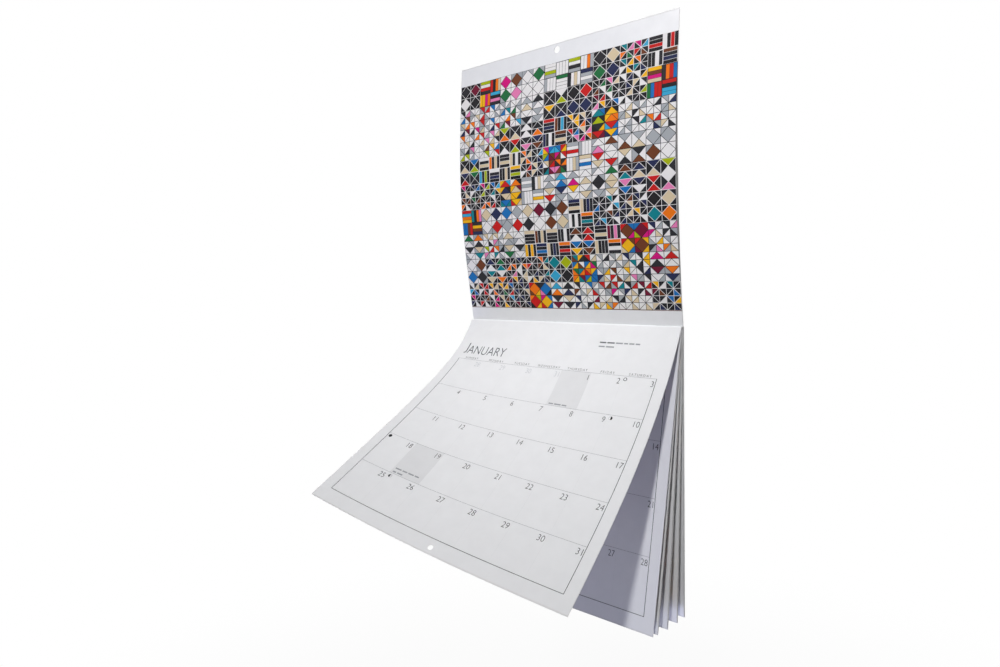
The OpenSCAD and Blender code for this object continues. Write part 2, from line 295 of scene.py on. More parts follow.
class CalendarInks(bpy.types.PropertyGroup):
    """Colours of paper, inks and wire."""

    page: colour("Page", "Coated paper of the inner sheets", "#edeef1")
    page_shade: colour("Page shade", "Mottling of the inner sheets", "#eaebee")
    cover: colour("Cover", "Heavier paper of the cover", "#dfe0e2")
    cover_shade: colour("Cover shade", "Mottling of the cover", "#dadbde")
    edge: colour("Edge", "Cut edges of the sheets", "#c4c2c0")
    day: colour("Day", "Day numbers and weekday names", "#2f3035")
    heading: colour("Heading", "Month's name", "#4c5057")
    pale_day: colour("Pale day", "Days of the months before and after", "#c9ccd1")
    row: colour("Row", "Lines between weeks", "#92959a")
    column: colour("Column", "Lines between days", "#e0e2e5")
    border: colour("Border", "Grid's border", "#45484d")
    rest_day: colour("Rest day", "Shaded days", "#e3e4e7")
    note: colour("Note", "Small plain bars", "#9b9ea3")
    dark_note: colour("Dark note", "First bars of a month's note", "#6c6f74")
    moon: colour("Moon", "Moon signs", "#2c2c30")
    white: colour("White", "White patches", "#eceaea")
    ivory: colour("Ivory", "Ivory patches", "#d9c7a6")
    silver: colour("Silver", "Grey patches", "#a7abb0")
    charcoal: colour("Charcoal", "Charcoal patches", "#26262b")
    black: colour("Black", "Black patches", "#1b1a1e")
    red: colour("Red", "Red patches", "#c8201f")
    orange: colour("Orange", "Orange patches", "#f07818")
    yellow: colour("Yellow", "Yellow patches", "#f2b71e")
    lime: colour("Lime", "Lime patches", "#a8b514")
    teal: colour("Teal", "Teal patches", "#0f7f8a")
    sky: colour("Sky", "Sky blue patches", "#3aa6d0")
    blue: colour("Blue", "Blue patches", "#1f6fb5")
    navy: colour("Navy", "Navy patches", "#232a4d")
    magenta: colour("Magenta", "Magenta patches", "#d3157c")
    pink: colour("Pink", "Pink patches", "#e57fb4")
    brown: colour("Brown", "Brown patches", "#6b3a22")
    wine: colour("Wine", "Wine red patches", "#6e1430")
    green: colour("Green", "Green patches", "#1f6a3c")
    # Painted shade: this grey on the front cover's inside stands in for the picture leaf's shadow on the
    # strip seen past its right edge
    inside: colour("Inside", "Tint of the front cover's inside", "#a9a6a6")
    steel: colour("Steel", "Staple wire", "#b9bcc0")
    steel_shade: colour("Steel shade", "Drawn streaks of the staple wire", "#8e9196")


class CalendarStudio(bpy.types.PropertyGroup):
    """Camera, lamps and floor."""

    camera_place: place("Camera place", "Camera's place from the middle of the fold",
                        (0.45409, -0.67103, 0.07282))
    camera_turn: angle("Camera turn", "Heading to the left of square on", 39.768)
    camera_dip: angle("Camera dip", "Downward tilt", 5.750)
    camera_roll: angle("Camera roll", "Roll of the frame", 1.793)
    focal_pixels: share("Focal pixels", "Focal length in pixels of the frame", 658.813)
    key_place: place("Key place", "Key lamp's place from the middle of the fold", (0.60, -1.35, 1.76))
    key_size: length("Key size", "Side of the key lamp", 120.0)
    key_power: power("Key power", "Power of the key lamp", 2.65)
    key_spread: angle("Key spread", "Opening of the key lamp's beam", 48.0)
    key_aim: length("Key aim", "Height over the fold that the key lamp points at", 20.0)
    side_place: place("Side place", "Side lamp's place from the middle of the fold", (-0.58, -1.6, 1.28))
    side_size: length("Side size", "Side of the side lamp", 300.0)
    side_power: power("Side power", "Power of the side lamp", 4.5)
    side_colour: colour("Side colour", "Light of the side lamp", "#fffaf5")
    fill_place: place("Fill place", "Fill lamp's place from the middle of the fold", (-0.45, -1.0, -1.05))
    fill_size: length("Fill size", "Side of the fill lamp", 500.0)
    fill_power: power("Fill power", "Power of the fill lamp", 5.0)
    fill_colour: colour("Fill colour", "Light of the fill lamp", "#ccd0ff")
    back_place: place("Back place", "Back lamp's place from the middle of the fold", (-0.4, 2.0, 0.5))
    back_size: length("Back size", "Side of the back lamp", 1200.0)
    back_power: power("Back power", "Power of the back lamp", 5.0)
    back_spread: angle("Back spread", "Opening of the back lamp's beam", 70.0)
    sky_strength: share("Sky strength", "Strength of the even light all round", 0.12)
    floor_drop: length("Floor drop", "Height of the object's lowest point over the floor", 900.0)
    floor_size: length("Floor size", "Side of the floor", 16000.0)
    floor_colour: colour("Floor colour", "Pale floor", "#f4f4f4")
    floor_glow: share("Floor glow", "Share of plain white in the floor under the object", 0.92)
    glow_near: length("Glow near", "Distance from the object where the floor starts to whiten", 600.0)
    glow_far: length("Glow far", "Distance from the object where the floor is plain white", 2200.0)


# Shape of the hung sheets, worked out in the plane across the fold: first towards the wall, then up


def down(lean):
    """Direction down a leaf that leans forward."""
    return np.array([-math.sin(lean), -math.cos(lean)])


def up(lean):
    """Direction up a leaf that leans forward."""
    return np.array([-math.sin(lean), math.cos(lean)])


def fold_point(radius, turn):
    """Point of a fold at an angle from the wall side."""
    return radius * np.array([math.cos(turn), math.sin(turn)])


def ply_radius(sizes, ply):
    """Radius of a fold at mid thickness, counted outwards from the centre sheet."""
    return sizes.fold_radius + sizes.page_thickness / 2 + ply * (sizes.page_thickness + sizes.ply_gap)


def cover_radius(sizes):
    """Radius of the cover's fold at mid thickness."""
    return ply_radius(sizes, OUTER_PLY) + (sizes.page_thickness + sizes.cover_thickness) / 2 + sizes.ply_gap


def leaf_height(sizes, radius):
    """Height of a leaf from the staples to its outer edge, trimmed with the calendar closed."""
    return sizes.page_height - cover_radius(sizes) - sizes.cover_thickness / 2 + math.pi / 2 * radius


def leaf_lean(sizes, mean, part):
    """Lean of a lower leaf at a share of its bend."""
    return mean * (1 + sizes.leaf_curl * (part - 0.5))


def upper_lean(sizes, part, lag=0.0):
    """Lean of an upper leaf at a share of its height."""
    bend_share = 1 - sizes.margin_flat / leaf_height(sizes, ply_radius(sizes, OUTER_PLY))
    middle = (sizes.upper_lean_fold + sizes.upper_lean_top) / 2
    swing = (sizes.upper_lean_fold - sizes.upper_lean_top) / 2
    bow = swing * math.cos(math.pi * (part - sizes.bow_start) / sizes.bow_span)
    return middle + bow - lag * math.sin(2 * math.pi * min(part / bend_share, 1))


def lower_leaf(sizes, start, mean, reach):
    """Points of a lower leaf from its fold to its outer edge."""
    step = (reach - sizes.margin_flat) / sizes.leaf_steps
    points = [start]
    for i in range(sizes.leaf_steps):
        points.append(points[-1] + step * down(leaf_lean(sizes, mean, (i + 0.5) / sizes.leaf_steps)))
    points.append(points[-1] + sizes.margin_flat * down(leaf_lean(sizes, mean, 1)))
    return points


def upper_leaf(sizes, radius, lag=0.0, trim=0.0):
    """Points of an upper leaf from the fold to its top edge."""
    height = leaf_height(sizes, ply_radius(sizes, OUTER_PLY))
    step = (height - sizes.margin_flat) / sizes.leaf_steps
    points = [fold_point(radius, sizes.staple_slant)]
    for i in range(sizes.leaf_steps):
        points.append(points[-1] + step * up(upper_lean(sizes, (i + 0.5) * step / height, lag)))
    margin = sizes.margin_flat + leaf_height(sizes, radius) - height - trim
    points.append(points[-1] + margin * up(upper_lean(sizes, 1)))
    return points


def front_turn(sizes, mean):
    """Angle round a fold where a front leaf leaves it."""
    return math.pi - leaf_lean(sizes, mean, 0)


def wall_turn(sizes, mean):
    """Angle round a fold where a wall-side leaf leaves it."""
    return -leaf_lean(sizes, mean, 0)


def front_leaf(sizes, radius, mean):
    """Front leaf of a hung sheet."""
    turn = front_turn(sizes, mean)
    reach = leaf_height(sizes, radius) - radius * (turn - sizes.staple_slant)
    return lower_leaf(sizes, fold_point(radius, turn), mean, reach)


def wall_leaf(sizes, radius, mean):
    """Wall-side leaf of a sheet."""
    turn = wall_turn(sizes, mean)
    reach = leaf_height(sizes, radius) - radius * (sizes.staple_slant - turn)
    return lower_leaf(sizes, fold_point(radius, turn), mean, reach)


def fold_arc(sizes, radius, start, end):
    """Points of a fold between two leaves, without the leaves' own first points."""
    return [fold_point(radius, turn) for turn in np.linspace(start, end, sizes.fold_steps + 1)[1:-1]]


def fold_middle(sizes):
    """Place of the fold's centre in the frame, whose origin is the hanging hole."""
    hole = upper_leaf(sizes, ply_radius(sizes, OUTER_PLY))[-1] - sizes.hole_inset * up(upper_lean(sizes, 1))
    return np.array([0.0, -hole[0], -hole[1]])


class Sheet:
    """A flat sheet and the way it is folded and hung. A flat point has a place across the sheet from its
    middle, a place along it from its front or upper edge, and a lift over the sheet's mid thickness."""

    def __init__(self, sizes, path, spine, thickness, columns, cell):
        path = np.array(path)
        steps = np.linalg.norm(np.diff(path, axis=0), axis=1)
        self.width = sizes.page_width
        self.spine = spine
        self.thickness = thickness
        self.columns = columns
        self.cell = cell
        self.rows = np.concatenate([[0.0], np.cumsum(steps)])
        self.total = self.rows[-1]
        self.middle = fold_middle(sizes)
        self.path = path
        along = np.gradient(path, self.rows, axis=0)
        along /= np.linalg.norm(along, axis=1)[:, None]
        self.normals = np.stack([-along[:, 1], along[:, 0]], axis=1)

    def bend(self, flat):
        """Places of flat points once the sheet is hung."""
        across, along, lift = flat.T
        bent = np.empty_like(flat)
        bent[:, 0] = across
        for axis in (0, 1):
            normal = np.interp(along, self.rows, self.normals[:, axis])
            bent[:, axis + 1] = np.interp(along, self.rows, self.path[:, axis]) + lift * normal
        return bent + self.middle


class CurledSheet(Sheet):
    """A sheet whose front leaf is a cone of paper: straight lines of bend that meet left of the page."""

    def __init__(self, sizes, radius, wall_mean, columns, cell):
        turn = math.pi - sizes.january_lift
        self.reach = leaf_height(sizes, radius) - radius * (turn - sizes.staple_slant)
        start = fold_point(radius, turn)
        rows = np.linspace(self.reach, 0.0, sizes.curl_rows)
        front = [start + row * down(sizes.january_lift) for row in rows]
        fold = fold_arc(sizes, radius, turn, wall_turn(sizes, wall_mean))
        path = front + fold + wall_leaf(sizes, radius, wall_mean)
        super().__init__(sizes, path, leaf_height(sizes, radius), sizes.page_thickness, columns, cell)
        self.apex_reach = sizes.january_apex + sizes.page_width / 2
        self.apex = np.array([-self.apex_reach, start[0], start[1]]) + self.middle
        self.turns = np.linspace(0.0, math.atan2(self.reach, sizes.january_apex), sizes.curl_steps + 1)
        self.lines, self.outs = self.curl(sizes)

    def curl(self, sizes):
        """Direction of each line of bend and the leaf's outward normal along it."""
        line = np.array([1.0, 0.0, 0.0])
        side = np.array([0.0, *down(sizes.january_lift)])
        step = self.turns[1]
        gain = sizes.january_curl_corner - sizes.january_curl_fold
        lines = [line]
        outs = [np.cross(side, line)]
        for turn in self.turns[:-1]:
            part = (turn + step / 2) / self.turns[-1]
            curl = step * (sizes.january_curl_fold + gain * part)
            line, side = (line * math.cos(step) + side * math.sin(step),
                          side * math.cos(step) - line * math.sin(step))
            out = np.cross(side, line)
            side = side * math.cos(curl) + out * math.sin(curl)
            lines.append(line)
            outs.append(np.cross(side, line))
        return np.array(lines), np.array(outs)

    def bend(self, flat):
        """Places of flat points once the sheet is hung and its front leaf curled."""
        bent = super().bend(flat)
        curled = flat[:, 1] < self.reach
        across, along, lift = flat[curled].T
        beside = self.apex_reach + across
        below = self.reach - along
        turn = np.arctan2(below, beside)
        line = np.stack([np.interp(turn, self.turns, self.lines[:, axis]) for axis in range(3)], axis=1)
        out = np.stack([np.interp(turn, self.turns, self.outs[:, axis]) for axis in range(3)], axis=1)
        bent[curled] = self.apex + np.hypot(beside, below)[:, None] * line + lift[:, None] * out
        return bent


def open_sheet(sizes, layout, radius, thickness, wall_mean, lag=0.0, trim=0.0):
    """Sheet opened flat, its upper leaf on the nail."""
    fold = fold_arc(sizes, radius, sizes.staple_slant, wall_turn(sizes, wall_mean))
    path = upper_leaf(sizes, radius, lag, trim)[::-1] + fold + wall_leaf(sizes, radius, wall_mean)
    return Sheet(sizes, path, leaf_height(sizes, radius) - trim, thickness, sizes.columns, layout.cell)


def hung_sheet(sizes, layout, radius, front_mean, wall_mean):
    """Sheet with both leaves hung down."""
    fold = fold_arc(sizes, radius, front_turn(sizes, front_mean), wall_turn(sizes, wall_mean))
    path = front_leaf(sizes, radius, front_mean)[::-1] + fold + wall_leaf(sizes, radius, wall_mean)
    return Sheet(sizes, path, leaf_height(sizes, radius), sizes.page_thickness, sizes.columns, layout.cell)


def all_sheets(sizes, layout):
    """Every sheet by its node's name, from the cover to the centre sheet."""
    last = sizes.last_lean
    fourth = sizes.fourth_lean
    third = sizes.third_lean
    step = sizes.leaf_step
    plies = [ply_radius(sizes, ply) for ply in range(OUTER_PLY + 1)]
    return {
        "cover_sheet": open_sheet(sizes, layout, cover_radius(sizes), sizes.cover_thickness,
                                  last - 2 * step, sizes.cover_lag, sizes.cover_trim),
        "picture_sheet": open_sheet(sizes, layout, plies[OUTER_PLY], sizes.page_thickness, last - step),
        "january_sheet": CurledSheet(sizes, plies[4], last, sizes.curl_columns, layout.curl_cell),
        "february_sheet": hung_sheet(sizes, layout, plies[3], sizes.february_lean, fourth - 2 * step),
        "march_sheet": hung_sheet(sizes, layout, plies[2], sizes.second_lean, fourth - step),
        "april_sheet": hung_sheet(sizes, layout, plies[1], sizes.second_lean - step, fourth),
        "may_sheet": hung_sheet(sizes, layout, plies[0], third, third - step),
    }


# Sheets as meshes


def deselect():
    """Leaves nothing selected."""
    bpy.ops.object.select_all(action="DESELECT")


def make_active(piece):
    """Selects one piece alone."""
    deselect()
    piece.select_set(True)
    bpy.context.view_layer.objects.active = piece


def points_of(mesh):
    """Vertices of a mesh as rows of numbers."""
    flat = np.empty(len(mesh.vertices) * 3)
    mesh.vertices.foreach_get("co", flat)
    return flat.reshape(-1, 3)


def move_points(mesh, points):
    """Gives a mesh's vertices new places."""
    mesh.vertices.foreach_set("co", np.ascontiguousarray(points).ravel())
    mesh.update()


def drill_holes(piece, holes, depth):
    """Cuts round holes, each given by its place across, its place along and its diameter."""
    drills = []
    for across, along, diameter in holes:
        deselect()
        bpy.ops.mesh.primitive_cylinder_add(vertices=HOLE_SIDES, radius=diameter / 2, depth=depth,
                                            location=(across, along, 0.0))
        drills.append(bpy.context.object)
    deselect()
    for drill in drills:
        drill.select_set(True)
    bpy.context.view_layer.objects.active = drills[0]
    bpy.ops.object.join()
    drill = bpy.context.object
    make_active(piece)
    cut = piece.modifiers.new("holes", "BOOLEAN")
    cut.operation = "DIFFERENCE"
    cut.solver = "EXACT"
    cut.object = drill
    bpy.ops.object.modifier_apply(modifier=cut.name)
    bpy.data.objects.remove(drill)


def map_sheet(mesh, flat, sheet):
    """Lays the sheet's own map: across and along, both from 0 to 1."""
    layer = mesh.uv_layers.active or mesh.uv_layers.new(name="sheet")
    corners = np.empty(len(mesh.loops), dtype=int)
    mesh.loops.foreach_get("vertex_index", corners)
    across = flat[corners, 0] / sheet.width + 0.5
    along = flat[corners, 1] / sheet.total
    layer.data.foreach_set("uv", np.stack([across, along], axis=1).ravel())


def make_sheet(name, sheet, holes, material):
    """Flat grid, thickened, drilled, then folded and hung. It stands for the CAD node."""
    deselect()
    spans = len(sheet.rows) - 1
    bpy.ops.mesh.primitive_grid_add(x_subdivisions=sheet.columns, y_subdivisions=spans, size=1.0)
    piece = bpy.context.object
    piece.name = name + "_paper"
    piece.data.name = piece.name
    flat = points_of(piece.data)
    row = np.rint((flat[:, 1] + 0.5) * spans).astype(int)
    flat[:, 0] *= sheet.width
    flat[:, 1] = sheet.rows[row]
    move_points(piece.data, flat)
    wall = piece.modifiers.new("thickness", "SOLIDIFY")
    wall.thickness = sheet.thickness
    wall.offset = 0.0
    bpy.ops.object.modifier_apply(modifier=wall.name)
    drill_holes(piece, holes, DRILL_DEPTH * sheet.thickness)
    flat = points_of(piece.data)
    map_sheet(piece.data, flat, sheet)
    move_points(piece.data, sheet.bend(flat))
    make_active(piece)
    bpy.ops.object.shade_smooth_by_angle(angle=SMOOTH_ANGLE)
    piece.data.materials.clear()
    piece.data.materials.append(material)
    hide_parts(name)
    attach(piece, "root")


def nail_inset(sizes, sheet):
    """Distance of the nail's line from the upper edge of a sheet that hangs on it."""
    edge = sheet.path[0] + sheet.middle[1:]
    return float(np.dot(edge, up(upper_lean(sizes, 1))))


def sheet_holes(sizes, sheet, upper_inset, upper_hole):
    """Holes of a sheet: one near each outer edge and one for each staple leg."""
    leg = sizes.wire + 2 * sizes.wire_clearance
    holes = [(0.0, upper_inset, upper_hole), (0.0, sheet.total - sizes.hole_inset, sizes.leaf_hole)]
    for side in (-1, 1):
        for end in (-1, 1):
            holes.append((side * sizes.staple_place + end * sizes.staple_width / 2, sheet.spine, leg))
    return holes


# Materials


def new_node(tree, kind, **values):
    """Adds a node and sets its plain properties."""
    node = tree.nodes.new(kind)
    for name, value in values.items():
        setattr(node, name, value)
    return node


def group_socket(tree, name, in_out, kind, default=None):
    """Adds a named socket to a node group."""
    socket = tree.interface.new_socket(name=name, in_out=in_out, socket_type=kind)
    if default is not None:
        socket.default_value = default


def paper_grain():
    """Node group: cloudy mottling and fine fibres of a coated paper."""
    existing = bpy.data.node_groups.get("paper_grain")
    if existing:
        return existing
    tree = bpy.data.node_groups.new("paper_grain", "ShaderNodeTree")
    group_socket(tree, "Cloud Scale", "INPUT", "NodeSocketFloat", 70.0)
    group_socket(tree, "Fibre Scale", "INPUT", "NodeSocketFloat", 1400.0)
    group_socket(tree, "Mottle", "OUTPUT", "NodeSocketFloat")
    group_socket(tree, "Fibre", "OUTPUT", "NodeSocketFloat")
    entry = new_node(tree, "NodeGroupInput")
    leave = new_node(tree, "NodeGroupOutput")
    coords = new_node(tree, "ShaderNodeTexCoord")
    cloud = new_node(tree, "ShaderNodeTexNoise", noise_dimensions="3D")
    cloud.inputs["Detail"].default_value = 5.0
    cloud.inputs["Roughness"].default_value = 0.6
    spread = new_node(tree, "ShaderNodeMapRange")
    spread.inputs["From Min"].default_value = 0.35
    spread.inputs["From Max"].default_value = 0.65
    fibre = new_node(tree, "ShaderNodeTexNoise", noise_dimensions="3D")
    fibre.inputs["Detail"].default_value = 3.0
    fibre.inputs["Distortion"].default_value = 1.5
    link = tree.links.new
    link(coords.outputs["Object"], cloud.inputs["Vector"])
    link(coords.outputs["Object"], fibre.inputs["Vector"])
    link(entry.outputs["Cloud Scale"], cloud.inputs["Scale"])
    link(entry.outputs["Fibre Scale"], fibre.inputs["Scale"])
    link(cloud.outputs["Fac"], spread.inputs["Value"])
    link(spread.outputs["Result"], leave.inputs["Mottle"])
    link(fibre.outputs["Fac"], leave.inputs["Fibre"])
    return tree


def edge_shade():
    """Node group: mask of the outermost strip of a sheet, from its own map."""
    existing = bpy.data.node_groups.get("edge_shade")
    if existing:
        return existing
    tree = bpy.data.node_groups.new("edge_shade", "ShaderNodeTree")
    group_socket(tree, "Width", "INPUT", "NodeSocketFloat", 0.002)
    group_socket(tree, "Edge", "OUTPUT", "NodeSocketFloat")
    entry = new_node(tree, "NodeGroupInput")
    leave = new_node(tree, "NodeGroupOutput")
    coords = new_node(tree, "ShaderNodeTexCoord")
    split = new_node(tree, "ShaderNodeSeparateXYZ")
    link = tree.links.new
    link(coords.outputs["UV"], split.inputs["Vector"])
    nearest = []
    for axis in ("X", "Y"):
        centred = new_node(tree, "ShaderNodeMath", operation="SUBTRACT")
        centred.inputs[1].default_value = 0.5
        away = new_node(tree, "ShaderNodeMath", operation="ABSOLUTE")
        inside = new_node(tree, "ShaderNodeMath", operation="SUBTRACT")
        inside.inputs[0].default_value = 0.5
        link(split.outputs[axis], centred.inputs[0])
        link(centred.outputs[0], away.inputs[0])
        link(away.outputs[0], inside.inputs[1])
        nearest.append(inside)
    least = new_node(tree, "ShaderNodeMath", operation="MINIMUM")
    link(nearest[0].outputs[0], least.inputs[0])
    link(nearest[1].outputs[0], least.inputs[1])
    fade = new_node(tree, "ShaderNodeMapRange")
    fade.inputs["To Min"].default_value = 1.0
    fade.inputs["To Max"].default_value = 0.0
    link(least.outputs[0], fade.inputs["Value"])
    link(entry.outputs["Width"], fade.inputs["From Max"])
    link(fade.outputs["Result"], leave.inputs["Edge"])
    return tree


def new_material(name):
    """Empty material with its shader and its node tree."""
    material = bpy.data.materials.new(name)
    material.use_nodes = True
    tree = material.node_tree
    shader = tree.nodes["Principled BSDF"]
    return material, tree, shader


def add_grain(tree, shader, roughness, bump):
    """Paper grain on a shader: roughness varies with the mottling, and the fibres are a fine bump."""
    grain = new_node(tree, "ShaderNodeGroup", node_tree=paper_grain())
    gloss = new_node(tree, "ShaderNodeMapRange")
    gloss.inputs["To Min"].default_value = roughness + GLOSSIER
    gloss.inputs["To Max"].default_value = roughness + DULLER
    relief = new_node(tree, "ShaderNodeBump")
    relief.inputs["Strength"].default_value = bump
    relief.inputs["Distance"].default_value = FIBRE_DEPTH
    tree.links.new(grain.outputs["Mottle"], gloss.inputs["Value"])
    tree.links.new(gloss.outputs["Result"], shader.inputs["Roughness"])
    tree.links.new(grain.outputs["Fibre"], relief.inputs["Height"])
    tree.links.new(relief.outputs["Normal"], shader.inputs["Normal"])
    return grain


def mix_colours(tree, mask, first, second):
    """Colour that runs from one to the other with a mask."""
    mix = new_node(tree, "ShaderNodeMix", data_type="RGBA")
    for socket, value in ((mix.inputs[MIX_FIRST], first), (mix.inputs[MIX_SECOND], second)):
        if hasattr(value, "links"):
            tree.links.new(value, socket)
        else:
            socket.default_value = (*value, 1.0)
    tree.links.new(mask, mix.inputs[0])
    return mix.outputs[MIX_RESULT]


def scaled(tree, mask, amount):
    """Mask times a number."""
    product = new_node(tree, "ShaderNodeMath", operation="MULTIPLY")
    product.inputs[1].default_value = amount
    tree.links.new(mask, product.inputs[0])
    return product.outputs[0]


def paper_material(name, base, shade, edge, roughness):
    """Coated paper: mottled white, fine fibres, and a slightly greyer rim at the cut edges."""
    existing = bpy.data.materials.get(name)
    if existing:
        return existing
    material, tree, shader = new_material(name)
    grain = add_grain(tree, shader, roughness, PAPER_BUMP)
    rim = new_node(tree, "ShaderNodeGroup", node_tree=edge_shade())
    rim.inputs["Width"].default_value = RIM_WIDTH
    paper = mix_colours(tree, grain.outputs["Mottle"], base, shade)
    tint = mix_colours(tree, scaled(tree, rim.outputs["Edge"], RIM_SHARE), paper, edge)
    tree.links.new(tint, shader.inputs["Base Color"])
    shader.inputs["Specular IOR Level"].default_value = PAPER_SPECULAR
    return material


def ink_material():
    """Printing ink: the colour that the print carries, slightly uneven, with the paper's grain."""
    existing = bpy.data.materials.get("printing_ink")
    if existing:
        return existing
    material, tree, shader = new_material("printing_ink")
    grain = add_grain(tree, shader, INK_ROUGHNESS, INK_BUMP)
    ink = new_node(tree, "ShaderNodeAttribute", attribute_name="ink")
    worn = new_node(tree, "ShaderNodeHueSaturation")
    worn.inputs["Value"].default_value = INK_WORN_VALUE
    tree.links.new(ink.outputs["Color"], worn.inputs["Color"])
    uneven = mix_colours(tree, grain.outputs["Mottle"], ink.outputs["Color"], worn.outputs["Color"])
    tree.links.new(uneven, shader.inputs["Base Color"])
    shader.inputs["Specular IOR Level"].default_value = INK_SPECULAR
    return material


def wire_material(bright, dull):
    """Drawn steel wire: streaks along the crown and a satin gloss."""
    material, tree, shader = new_material("staple_wire")
    coords = new_node(tree, "ShaderNodeTexCoord")
    stretch = new_node(tree, "ShaderNodeMapping")
    stretch.inputs["Scale"].default_value = WIRE_STREAKS
    streaks = new_node(tree, "ShaderNodeTexNoise", noise_dimensions="3D")
    streaks.inputs["Scale"].default_value = 1.0
    streaks.inputs["Detail"].default_value = 4.0
    gloss = new_node(tree, "ShaderNodeMapRange")
    gloss.inputs["To Min"].default_value = WIRE_ROUGHNESS[0]
    gloss.inputs["To Max"].default_value = WIRE_ROUGHNESS[1]
    tree.links.new(coords.outputs["Object"], stretch.inputs["Vector"])
    tree.links.new(stretch.outputs["Vector"], streaks.inputs["Vector"])
    tree.links.new(streaks.outputs["Fac"], gloss.inputs["Value"])
    tree.links.new(gloss.outputs["Result"], shader.inputs["Roughness"])
    tree.links.new(mix_colours(tree, streaks.outputs["Fac"], bright, dull), shader.inputs["Base Color"])
    shader.inputs["Metallic"].default_value = 1.0
    return material


def background_rays(tree):
    """Mask of the rays that see the plain background: from the camera, from gloss and through glass."""
    path = new_node(tree, "ShaderNodeLightPath")
    seen = new_node(tree, "ShaderNodeMath", operation="MAXIMUM")
    clear = new_node(tree, "ShaderNodeMath", operation="MAXIMUM")
    tree.links.new(path.outputs["Is Camera Ray"], seen.inputs[0])
    tree.links.new(path.outputs["Is Glossy Ray"], seen.inputs[1])
    tree.links.new(seen.outputs[0], clear.inputs[0])
    tree.links.new(path.outputs["Is Transmission Ray"], clear.inputs[1])
    return clear.outputs[0]


# Print: flat shapes in ink, gathered page by page and laid on the hung leaves


def cut_polygon(polygon, axis, pitch):
    """Cuts a flat polygon into bands of a given width."""
    low = min(point[axis] for point in polygon)
    high = max(point[axis] for point in polygon)
    if high - low <= pitch:
        return [polygon]
    pieces = []
    cuts = [k * pitch for k in range(math.floor(low / pitch) + 1, math.ceil(high / pitch))]
    edges = [low] + [cut for cut in cuts if low + SLIVER < cut < high - SLIVER] + [high]
    for start, end in zip(edges[:-1], edges[1:]):
        band = keep_side(keep_side(polygon, axis, start, 1), axis, end, -1)
        if len(band) > 2:
            pieces.append(band)
    return pieces


def keep_side(polygon, axis, limit, sign):
    """Part of a convex polygon on one side of a line."""
    kept = []
    for before, after in zip(polygon, polygon[1:] + polygon[:1]):
        first = sign * (before[axis] - limit)
        second = sign * (after[axis] - limit)
        if first >= 0:
            kept.append(before)
        if first * second < 0:
            part = first / (first - second)
            kept.append(tuple(b + part * (a - b) for b, a in zip(before, after)))
    return kept


class Print:
    """Ink of one sheet, gathered as flat polygons on the sheet and made one piece."""

    def __init__(self, sheet, ink_lift):
        self.sheet = sheet
        self.ink_lift = ink_lift
        self.points = []
        self.faces = []
        self.inks = []

    def add(self, page, polygon, ink, layer=BASE_LAYER, cut=True):
        """Adds a polygon of a page, in places from the page's left and outer edges."""
        pieces = [polygon]
        if cut:
            pieces = cut_polygon(polygon, 0, self.sheet.cell)
            pieces = [part for piece in pieces for part in cut_polygon(piece, 1, self.sheet.cell)]
        lift = page.side * (self.sheet.thickness / 2 + layer * self.ink_lift)
        for piece in pieces:
            flat = [page.flat(self.sheet, point) for point in piece]
            turned = zip(flat, flat[1:] + flat[:1])
            area = sum(a[0] * b[1] - b[0] * a[1] for a, b in turned)
            if area * page.side < 0:
                flat.reverse()
            first = len(self.points)
            self.points.extend((across, along, lift) for across, along in flat)
            self.faces.append(range(first, first + len(flat)))
            self.inks.append(ink)

    def make(self, name, material):
        """Makes the print a piece that rides with its sheet."""
        mesh = bpy.data.meshes.new(name)
        bent = self.sheet.bend(np.array(self.points))
        mesh.from_pydata(bent.tolist(), [], [list(face) for face in self.faces])
        colours = mesh.attributes.new("ink", "FLOAT_COLOR", "CORNER")
        corners = [(*ink, 1.0) for face, ink in zip(self.faces, self.inks) for _ in face]
        colours.data.foreach_set("color", np.array(corners).ravel())
        mesh.materials.append(material)
        piece = bpy.data.objects.new(name, mesh)
        bpy.context.scene.collection.objects.link(piece)
        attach(piece, "root")


class Page:
    """One side of a leaf. Places on it run from the leaf's left edge and from its outer edge."""

    def __init__(self, wall_leaf_side, side):
        self.wall_leaf_side = wall_leaf_side
        self.side = side

    def flat(self, sheet, point):
        """Place on the flat sheet of a point of the page."""
        along = sheet.total - point[1] if self.wall_leaf_side else point[1]
        return point[0] - sheet.width / 2, along


FRONT_LEAF_FACE = Page(False, 1)
FRONT_LEAF_BACK = Page(False, -1)
WALL_LEAF_FACE = Page(True, -1)
WALL_LEAF_BACK = Page(True, 1)
UPPER_LEAF_FACE = Page(False, -1)
UPPER_LEAF_BACK = Page(False, 1)


def box(left, low, right, high):
    """Rectangle as a polygon."""
    return [(left, low), (right, low), (right, high), (left, high)]


glyphs = {}


def glyph_shape(body, spacing):
    """Points and faces of a word set in the plain built-in face, with capitals of height 1."""
    key = (body, spacing)
    if key in glyphs:
        return glyphs[key]
    deselect()
    bpy.ops.object.text_add()
    text = bpy.context.object
    text.data.body = body
    text.data.space_character = spacing
    text.data.offset = TEXT_OFFSET
    text.data.resolution_u = TEXT_STEPS
    bpy.ops.object.convert(target="MESH")
    word = bpy.context.object
    points = points_of(word.data)[:, :2]
    faces = [list(face.vertices) for face in word.data.polygons]
    bpy.data.objects.remove(word)
    if body != "H":
        points = points / glyph_shape("H", 1.0)[0][:, 1].max()
    glyphs[key] = (points, faces)
    return glyphs[key]


